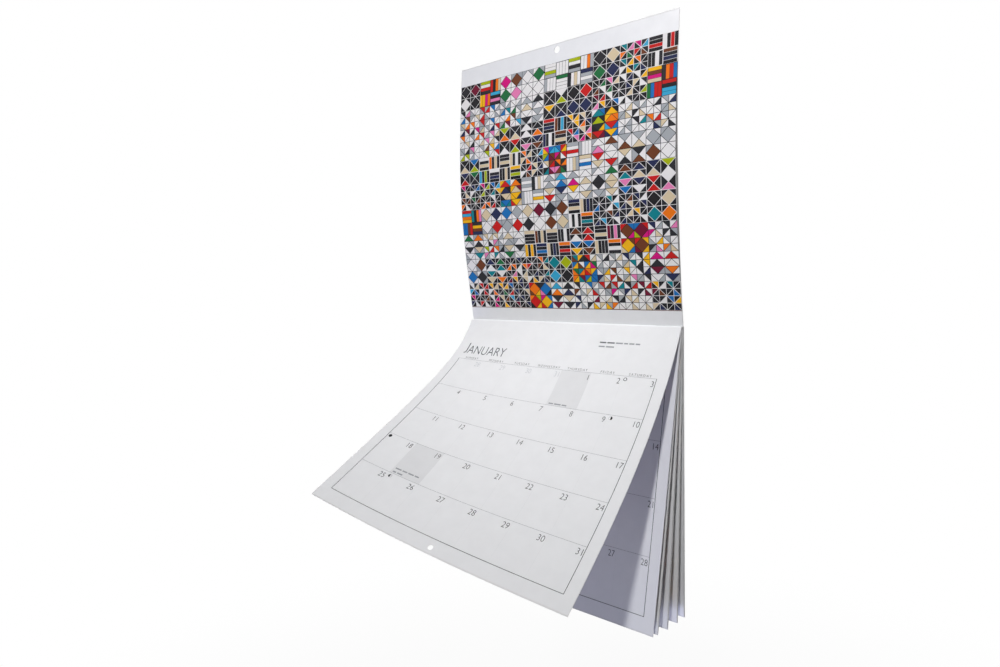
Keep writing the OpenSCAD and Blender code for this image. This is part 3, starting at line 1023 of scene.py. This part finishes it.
def write(ink_print, page, body, ink, height, base, left=None, right=None, centre=None,
          spacing=1.0, width=1.0, seat=False):
    """Writes a word on a page and returns where it ends. A seated word keeps no tail under its line."""
    points, faces = glyph_shape(body, spacing)
    if seat:
        foot = points[:, 1].min()
        points = (points - (0.0, foot)) / (1.0, points[:, 1].max() - foot)
    points = points * (height * width, height)
    low = points[:, 0].min()
    high = points[:, 0].max()
    if left is not None:
        start = left - low
    elif right is not None:
        start = right - high
    else:
        start = centre - (low + high) / 2
    for face in faces:
        polygon = [(start + points[i][0], base + points[i][1]) for i in face]
        ink_print.add(page, polygon, ink, layer=INK_LAYER, cut=False)
    return start + high


def moon_signs():
    """Day of the year and phase of each moon sign: full, waning half, new, waxing half."""
    return {math.floor(FIRST_MOON + MOON_DAYS * k): k % len(MOON_PHASES) for k in range(MOON_SIGNS)}


def draw_moon(ink_print, page, inks, centre, diameter, phase):
    """Small round sign of the moon's phase: a dark disc with its lit part left white."""
    first, last, lit = MOON_PHASES[phase]
    disc = round_points(centre, diameter / 2, 0, CIRCLE_STEPS)
    ink_print.add(page, disc, inks.moon, layer=INK_LAYER, cut=False)
    if lit:
        bright = round_points(centre, lit * diameter / 2, first, last)
        ink_print.add(page, bright, inks.page, layer=TOP_LAYER, cut=False)


def round_points(centre, radius, first, last):
    """Points of a circle from one of its steps to another."""
    turns = [2 * math.pi * k / CIRCLE_STEPS for k in range(first, last + 1)]
    return [(centre[0] + radius * math.cos(t), centre[1] + radius * math.sin(t)) for t in turns]


def draw_note(ink_print, page, layout, lines, corner, first_ink, ink):
    """Lines of plain bars in the place of small words, from a corner at their left and low end."""
    for k, bars in enumerate(reversed(lines)):
        left = corner[0]
        low = corner[1] + k * layout.note_step
        for place_in_line, bar in enumerate(bars):
            right = left + bar * MILLIMETRE
            leads = k == len(lines) - 1 and place_in_line < DARK_BARS
            shape = box(left, low, right, low + layout.note_height)
            ink_print.add(page, shape, first_ink if leads else ink, layer=INK_LAYER)
            left = right + layout.note_gap


def draw_month(ink_print, page, layout, inks, month):
    """Grid of one month: lines, weekday names, day numbers, shaded rest days and moon signs."""
    width = ink_print.sheet.width
    left = layout.grid_side
    right = width - layout.grid_side
    low = layout.grid_foot
    top = low + layout.grid_height
    before = FIRST_WEEKDAY + sum(MONTH_DAYS[:month])
    first = before % DAYS_IN_WEEK
    days = MONTH_DAYS[month]
    weeks = math.ceil((first + days) / DAYS_IN_WEEK)
    column = (right - left) / DAYS_IN_WEEK
    row = layout.grid_height / weeks
    moons = moon_signs()
    for cell in range(weeks * DAYS_IN_WEEK):
        day = cell - first + 1
        cell_left = left + (cell % DAYS_IN_WEEK) * column
        cell_top = top - (cell // DAYS_IN_WEEK) * row
        ink = inks.day
        if day in REST_DAYS.get(month, ()):
            shade = box(cell_left, cell_top - row, cell_left + column, cell_top)
            ink_print.add(page, shade, inks.rest_day)
            note = SHORT_NOTE if day == 1 else LONG_NOTE
            corner = (cell_left + layout.cell_note_inset, cell_top - row + layout.cell_note_lift)
            draw_note(ink_print, page, layout, note, corner, inks.note, inks.note)
        if day < 1:
            day += MONTH_DAYS[month - 1]
            ink = inks.pale_day
        elif day > days:
            day -= days
            ink = inks.pale_day
        else:
            day_of_year = before - FIRST_WEEKDAY + day
            if day_of_year in moons:
                centre = (cell_left + layout.moon_inset, cell_top - layout.moon_inset)
                draw_moon(ink_print, page, inks, centre, layout.moon, moons[day_of_year])
        day_base = cell_top - layout.day_drop - layout.day_height
        write(ink_print, page, str(day), ink, layout.day_height, day_base,
              right=cell_left + column - layout.day_inset, width=layout.narrow)
    for k in range(1, DAYS_IN_WEEK):
        middle = left + k * column
        line = box(middle - layout.column_line / 2, low, middle + layout.column_line / 2, top)
        ink_print.add(page, line, inks.column, layer=INK_LAYER)
    for k in range(weeks + 1):
        middle = top - k * row
        ink = inks.border if k == weeks else inks.row
        thick = layout.border_line if k == weeks else layout.row_line
        ink_print.add(page, box(left, middle - thick / 2, right, middle + thick / 2), ink, layer=TOP_LAYER)
    for middle in (left, right):
        line = box(middle - layout.border_line / 2, low, middle + layout.border_line / 2, top)
        ink_print.add(page, line, inks.border, layer=TOP_LAYER)
    for k, name in enumerate(WEEKDAYS):
        write(ink_print, page, name, inks.day, layout.weekday_height, top + layout.weekday_lift,
              centre=left + (k + 0.5) * column, spacing=WEEKDAY_SPACING)
    base = top + layout.heading_lift
    end = write(ink_print, page, MONTHS[month][0], inks.heading, layout.initial_height, base,
                left=layout.heading_inset, width=layout.heading_narrow, seat=True)
    write(ink_print, page, MONTHS[month][1:], inks.heading, layout.heading_height, base,
          left=end + HEADING_GAP, width=layout.heading_narrow)
    corner = (width - layout.note_inset, top + layout.note_lift)
    draw_note(ink_print, page, layout, HEADING_NOTE, corner, inks.dark_note, inks.note)


# Patchwork pictures


def triangle_pair(x, y, n, way):
    """Square of two triangles."""
    corners = box(x, y, x + n, y + n)
    turned = corners[way % 4:] + corners[:way % 4]
    return [(turned[:3], 0), ([turned[2], turned[3], turned[0]], 1)]


def hourglass(x, y, n):
    """Square of four triangles."""
    corners = box(x, y, x + n, y + n)
    middle = (x + n / 2, y + n / 2)
    return [([corners[k], corners[(k + 1) % 4], middle], k % 2) for k in range(4)]


def diamond(x, y, n):
    """Square on its point in a square."""
    half = n / 2
    tips = [(x + half, y), (x + n, y + half), (x + half, y + n), (x, y + half)]
    corners = [(x + n, y), (x + n, y + n), (x, y + n), (x, y)]
    shapes = [(tips, 0)]
    for k in range(4):
        shapes.append(([tips[k], corners[k], tips[(k + 1) % 4]], 1))
    return shapes


def geese(x, y, n, way):
    """Two wide triangles that point the same way, with their corners."""
    shapes = []
    for k in range(2):
        low = y + k * n / 2
        base, tip = (low, low + n / 2) if way % 2 else (low + n / 2, low)
        shapes.append(([(x, base), (x + n, base), (x + n / 2, tip)], 0))
        shapes.append(([(x, base), (x + n / 2, tip), (x, tip)], 1))
        shapes.append(([(x + n, base), (x + n, tip), (x + n / 2, tip)], 1))
    return shapes


def rails(x, y, n, way):
    """Four strips side by side."""
    step = n / 4
    if way % 2:
        return [(box(x + k * step, y, x + (k + 1) * step, y + n), k % 2) for k in range(4)]
    return [(box(x, y + k * step, x + n, y + (k + 1) * step), k % 2) for k in range(4)]


def block_shapes(kind):
    """Shapes of one block of side 1 and four quarters, each with its role: 0 figure, 1 ground."""
    half = 1 / 2
    unit = half / 2
    shapes = []
    for k, (i, j) in enumerate(QUARTERS):
        x = i * half
        y = j * half
        if kind == "hourglasses":
            shapes += hourglass(x, y, half)
        elif kind == "diamonds":
            shapes += diamond(x, y, half)
        elif kind == "geese":
            shapes += geese(x, y, half, k // 2)
        elif kind == "rails":
            shapes += rails(x, y, half, k)
        else:
            for way, (across, along) in enumerate(QUARTERS):
                turn = way if kind == "pinwheels" else way % 2
                shapes += triangle_pair(x + across * unit, y + along * unit, unit, turn)
    return shapes


def shrink(polygon, gap):
    """Draws a patch in from its seams."""
    turned = list(zip(polygon, polygon[1:] + polygon[:1]))
    area = abs(sum(a[0] * b[1] - b[0] * a[1] for a, b in turned)) / 2
    sides = [math.dist(a, b) for a, b in turned]
    scale = 1 - gap * sum(sides) / (2 * area)
    if len(polygon) == 3:
        weights = [sides[1], sides[2], sides[0]]
    else:
        weights = [1.0] * len(polygon)
    total = sum(weights)
    centre = [sum(w * point[axis] for w, point in zip(weights, polygon)) / total for axis in (0, 1)]
    return [tuple(c + scale * (v - c) for c, v in zip(centre, point)) for point in polygon]


def patch_ink(inks, scheme, role, chance):
    """Colour of one patch in a light, dark or bright block."""
    draw = chance.random()
    bright = chance.choice(BRIGHTS)
    if scheme == "light":
        name = "white" if role else bright
        if role and draw > GREY_GROUND_OVER:
            name = "silver"
        if not role and draw > LIGHT_FIGURE_OVER:
            name = chance.choice(LIGHT_FIGURES)
    elif scheme == "dark":
        name = chance.choice(DARK_GROUNDS) if role else bright
        if not role and draw > DARK_FIGURE_OVER:
            name = chance.choice(DARK_FIGURES)
    else:
        name = bright
        if role and draw > BRIGHT_GROUND_OVER:
            name = chance.choice(BRIGHT_GROUNDS)
    return getattr(inks, name)


def draw_patchwork(ink_print, page, inks, seed, panel, block, seam):
    """Panel of traditional patchwork blocks over a dark or light ground."""
    chance = random.Random(seed)
    left, low, right, high = panel
    across = max(1, round((right - left) / block))
    along = max(1, round((high - low) / block))
    width = (right - left) / across
    height = (high - low) / along
    for i in range(across):
        for j in range(along):
            scheme = SCHEMES[(i + 2 * j + seed) % len(SCHEMES)]
            ground = inks.white if scheme == "dark" else inks.black
            x = left + i * width
            y = low + j * height
            ink_print.add(page, box(x, y, x + width, y + height), ground)
            kind = chance.choice(KINDS)
            for shape, role in block_shapes(kind):
                patch = [(x + px * width, y + py * height) for px, py in shape]
                ink = patch_ink(inks, scheme, role, chance)
                ink_print.add(page, shrink(patch, seam), ink, layer=INK_LAYER)


def draw_picture(ink_print, page, layout, inks, seed):
    """Picture across a whole leaf, with plain margins at head and foot and a thin line at the foot."""
    low = layout.picture_head
    high = ink_print.sheet.spine - layout.picture_foot
    if page.wall_leaf_side:
        high = ink_print.sheet.total - ink_print.sheet.spine - layout.picture_foot
    right = ink_print.sheet.width - BLEED
    panel = (BLEED, low, right, high)
    draw_patchwork(ink_print, page, inks, seed, panel, layout.block, layout.patch_gap)
    foot = box(BLEED, high, right, high + FOOT_LINE)
    ink_print.add(page, foot, inks.brown, layer=INK_LAYER)


def draw_cover_front(ink_print, page, layout, inks, seed):
    """Outside of the front cover: one panel of patchwork over a plain dark band."""
    right = ink_print.sheet.width - BLEED
    high = ink_print.sheet.spine - COVER_MARGIN
    ink_print.add(page, box(BLEED, layout.picture_head, right, COVER_BAND), inks.navy)
    panel = (BLEED, COVER_BAND, right, high)
    draw_patchwork(ink_print, page, inks, seed, panel, layout.block, layout.patch_gap)


def draw_cover_inside(ink_print, page, layout, inks):
    """Inside of the front cover: a plain grey tint below the margin, as painted shade under the picture
    leaf.
    """
    right = ink_print.sheet.width - BLEED
    high = ink_print.sheet.spine - layout.picture_foot
    # Painted shade, not a real print: grey where the picture leaf's shadow falls on the cover's inside
    ink_print.add(page, box(BLEED, layout.picture_head, right, high), inks.inside)


def draw_cover_back(ink_print, page, inks, seed):
    """Outside of the back cover: rows of small panels."""
    columns = PANEL_COLUMNS
    left = (ink_print.sheet.width - columns * PANEL_SIDE - (columns - 1) * PANEL_GAP) / 2
    for k in range(PANELS):
        x = left + (k % columns) * (PANEL_SIDE + PANEL_GAP)
        y = PANEL_FOOT + (k // columns) * (PANEL_SIDE + PANEL_GAP)
        panel = (x, y, x + PANEL_SIDE, y + PANEL_SIDE)
        draw_patchwork(ink_print, page, inks, seed + k, panel, PANEL_SIDE / PANEL_BLOCKS, PANEL_SEAM)


# Operators


class CALENDAR_OT_sheets(bpy.types.Operator):
    """Fold and hang the smooth paper sheets in place of the faceted ones"""

    bl_idname = "calendar.sheets"
    bl_label = "Paper sheets"

    def execute(self, context):
        scene = context.scene
        sizes = scene.calendar_sheets
        inks = scene.calendar_inks
        pages = paper_material("page_paper", inks.page, inks.page_shade, inks.edge, PAGE_ROUGHNESS)
        covers = paper_material("cover_paper", inks.cover, inks.cover_shade, inks.edge, COVER_ROUGHNESS)
        for name, sheet in all_sheets(sizes, scene.calendar_print).items():
            if name in ("cover_sheet", "picture_sheet"):
                holes = sheet_holes(sizes, sheet, nail_inset(sizes, sheet), sizes.hang_hole)
            else:
                holes = sheet_holes(sizes, sheet, sizes.hole_inset, sizes.leaf_hole)
            if name == "cover_sheet":
                make_sheet(name, sheet, holes, covers)
            else:
                make_sheet(name, sheet, holes, pages)
        return {"FINISHED"}


class CALENDAR_OT_prints(bpy.types.Operator):
    """Print the months on the faces of the leaves and the pictures on their backs"""

    bl_idname = "calendar.prints"
    bl_label = "Months and pictures"

    def execute(self, context):
        scene = context.scene
        layout = scene.calendar_print
        inks = scene.calendar_inks
        material = ink_material()
        sheets = all_sheets(scene.calendar_sheets, layout)
        for k, (name, sheet) in enumerate(sheets.items()):
            ink_print = Print(sheet, layout.ink_lift)
            draw_month(ink_print, WALL_LEAF_FACE, layout, inks, len(MONTHS) - 1 - k)
            if name == "cover_sheet":
                draw_cover_front(ink_print, UPPER_LEAF_BACK, layout, inks, SEEDS["cover"])
                # The cover's inside gets painted shade in place of the picture leaf's shadow
                draw_cover_inside(ink_print, UPPER_LEAF_FACE, layout, inks)
                draw_cover_back(ink_print, WALL_LEAF_BACK, inks, SEEDS["panels"])
            elif name == "picture_sheet":
                draw_picture(ink_print, UPPER_LEAF_FACE, layout, inks, SEEDS["picture"])
                draw_picture(ink_print, WALL_LEAF_BACK, layout, inks, SEEDS["picture_back"])
            else:
                draw_month(ink_print, FRONT_LEAF_FACE, layout, inks, k - OPEN_SHEETS)
                draw_picture(ink_print, FRONT_LEAF_BACK, layout, inks, SEEDS["front_back"] + k)
                draw_picture(ink_print, WALL_LEAF_BACK, layout, inks, SEEDS["wall_back"] + k)
            ink_print.make(name.replace("sheet", "print"), material)
        return {"FINISHED"}


class CALENDAR_OT_staples(bpy.types.Operator):
    """Give the two staples their drawn steel wire"""

    bl_idname = "calendar.staples"
    bl_label = "Staple wire"

    def execute(self, context):
        inks = context.scene.calendar_inks
        wire = wire_material(inks.steel, inks.steel_shade)
        for name in ("left_staple", "right_staple"):
            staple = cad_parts[name]
            staple.data.materials.clear()
            staple.data.materials.append(wire)
        return {"FINISHED"}


class CALENDAR_OT_studio(bpy.types.Operator):
    """Set the floor, the lamps, the even light and the camera"""

    bl_idname = "calendar.studio"
    bl_label = "Studio"

    def execute(self, context):
        scene = context.scene
        studio = scene.calendar_studio
        middle = Vector(fold_middle(scene.calendar_sheets))
        self.floor(studio)
        self.lamps(scene, studio, middle)
        self.world(scene, studio)
        self.camera(scene, studio, middle)
        scene.view_settings.view_transform = "Standard"
        return {"FINISHED"}

    def floor(self, studio):
        """Pale floor that runs out to plain white."""
        deselect()
        height = cad_box[0][2] - studio.floor_drop
        bpy.ops.mesh.primitive_plane_add(size=studio.floor_size, location=(0.0, 0.0, height))
        floor = bpy.context.object
        floor.name = "floor"
        material, tree, shader = new_material("floor_paint")
        shader.inputs["Base Color"].default_value = (*studio.floor_colour, 1.0)
        shader.inputs["Roughness"].default_value = FLOOR_ROUGHNESS
        coords = new_node(tree, "ShaderNodeTexCoord")
        away = new_node(tree, "ShaderNodeVectorMath", operation="LENGTH")
        fade = new_node(tree, "ShaderNodeMapRange", interpolation_type="SMOOTHSTEP")
        fade.inputs["From Min"].default_value = studio.glow_near
        fade.inputs["From Max"].default_value = studio.glow_far
        fade.inputs["To Min"].default_value = studio.floor_glow
        seen = new_node(tree, "ShaderNodeMath", operation="MULTIPLY")
        glow = new_node(tree, "ShaderNodeEmission")
        mix = new_node(tree, "ShaderNodeMixShader")
        out = tree.nodes["Material Output"]
        tree.links.new(coords.outputs["Object"], away.inputs[0])
        tree.links.new(away.outputs["Value"], fade.inputs["Value"])
        tree.links.new(background_rays(tree), seen.inputs[0])
        tree.links.new(fade.outputs["Result"], seen.inputs[1])
        tree.links.new(seen.outputs[0], mix.inputs[0])
        tree.links.new(shader.outputs[0], mix.inputs[1])
        tree.links.new(glow.outputs[0], mix.inputs[2])
        tree.links.new(mix.outputs[0], out.inputs["Surface"])
        floor.data.materials.append(material)

    def lamp(self, scene, name, size, watts, spot, target):
        """Square lamp that the camera doesn't see."""
        data = bpy.data.lights.new(name, "AREA")
        data.energy = watts
        data.shape = "SQUARE"
        data.size = size
        lamp = bpy.data.objects.new(name, data)
        scene.collection.objects.link(lamp)
        lamp.location = spot
        lamp.rotation_euler = (target - spot).to_track_quat("-Z", "Y").to_euler()
        lamp.visible_camera = False
        return data

    def lamps(self, scene, studio, middle):
        """Key, side, fill and back lamps."""
        key = middle + Vector(studio.key_place)
        side = middle + Vector(studio.side_place)
        fill = middle + Vector(studio.fill_place)
        back = middle + Vector(studio.back_place)
        aim = middle + Vector((0.0, 0.0, studio.key_aim))
        key_lamp = self.lamp(scene, "key_lamp", studio.key_size, studio.key_power, key, aim)
        key_lamp.spread = studio.key_spread
        side_lamp = self.lamp(scene, "side_lamp", studio.side_size, studio.side_power, side, middle)
        side_lamp.color = studio.side_colour
        fill_lamp = self.lamp(scene, "fill_lamp", studio.fill_size, studio.fill_power, fill, middle)
        fill_lamp.color = studio.fill_colour
        back_lamp = self.lamp(scene, "back_lamp", studio.back_size, studio.back_power, back, middle)
        back_lamp.spread = studio.back_spread

    def world(self, scene, studio):
        """Weak even light, seen as plain white."""
        world = bpy.data.worlds.new("even_light")
        scene.world = world
        world.use_nodes = True
        tree = world.node_tree
        even = tree.nodes["Background"]
        even.inputs["Color"].default_value = (1.0, 1.0, 1.0, 1.0)
        even.inputs["Strength"].default_value = studio.sky_strength
        white = new_node(tree, "ShaderNodeBackground")
        white.inputs["Color"].default_value = (1.0, 1.0, 1.0, 1.0)
        mix = new_node(tree, "ShaderNodeMixShader")
        tree.links.new(background_rays(tree), mix.inputs[0])
        tree.links.new(even.outputs[0], mix.inputs[1])
        tree.links.new(white.outputs[0], mix.inputs[2])
        tree.links.new(mix.outputs[0], tree.nodes["World Output"].inputs["Surface"])

    def camera(self, scene, studio, middle):
        """Camera in the place of the photograph's."""
        data = bpy.data.cameras.new("camera")
        data.sensor_width = SENSOR_WIDTH
        data.sensor_fit = "HORIZONTAL"
        data.lens = studio.focal_pixels * SENSOR_WIDTH / IMAGE_WIDTH
        camera = bpy.data.objects.new("camera", data)
        scene.collection.objects.link(camera)
        turn = Matrix.Rotation(studio.camera_turn, 4, "Z")
        tilt = Matrix.Rotation(math.pi / 2 - studio.camera_dip, 4, "X")
        roll = Matrix.Rotation(-studio.camera_roll, 4, "Z")
        shift = Matrix.Translation(middle + Vector(studio.camera_place))
        camera.matrix_world = shift @ turn @ tilt @ roll
        scene.camera = camera


class CALENDAR_PT_pieces(bpy.types.Panel):
    """Lists the pieces of the calendar in the order they are made"""

    bl_idname = "CALENDAR_PT_pieces"
    bl_label = "Wall calendar"
    bl_space_type = "VIEW_3D"
    bl_region_type = "UI"
    bl_category = "Calendar"

    def draw(self, context):
        """One button for each operator."""
        for operator in OPERATORS:
            self.layout.operator(operator.bl_idname)


OPERATORS = (CALENDAR_OT_sheets, CALENDAR_OT_prints, CALENDAR_OT_staples, CALENDAR_OT_studio)
GROUPS = {
    "calendar_sheets": CalendarSheets,
    "calendar_print": CalendarPrint,
    "calendar_inks": CalendarInks,
    "calendar_studio": CalendarStudio,
}


def register():
    """Registers the property groups, the operators and the panel."""
    for name, group in GROUPS.items():
        bpy.utils.register_class(group)
        setattr(bpy.types.Scene, name, bpy.props.PointerProperty(type=group))
    for operator in OPERATORS:
        bpy.utils.register_class(operator)
    bpy.utils.register_class(CALENDAR_PT_pieces)


def unregister():
    """Takes back what register added."""
    bpy.utils.unregister_class(CALENDAR_PT_pieces)
    for operator in reversed(OPERATORS):
        bpy.utils.unregister_class(operator)
    for name, group in GROUPS.items():
        delattr(bpy.types.Scene, name)
        bpy.utils.unregister_class(group)


def main():
    """Makes the calendar."""
    register()
    bpy.ops.calendar.sheets()
    bpy.ops.calendar.prints()
    bpy.ops.calendar.staples()
    bpy.ops.calendar.studio()


if __name__ == "__main__":
    main()
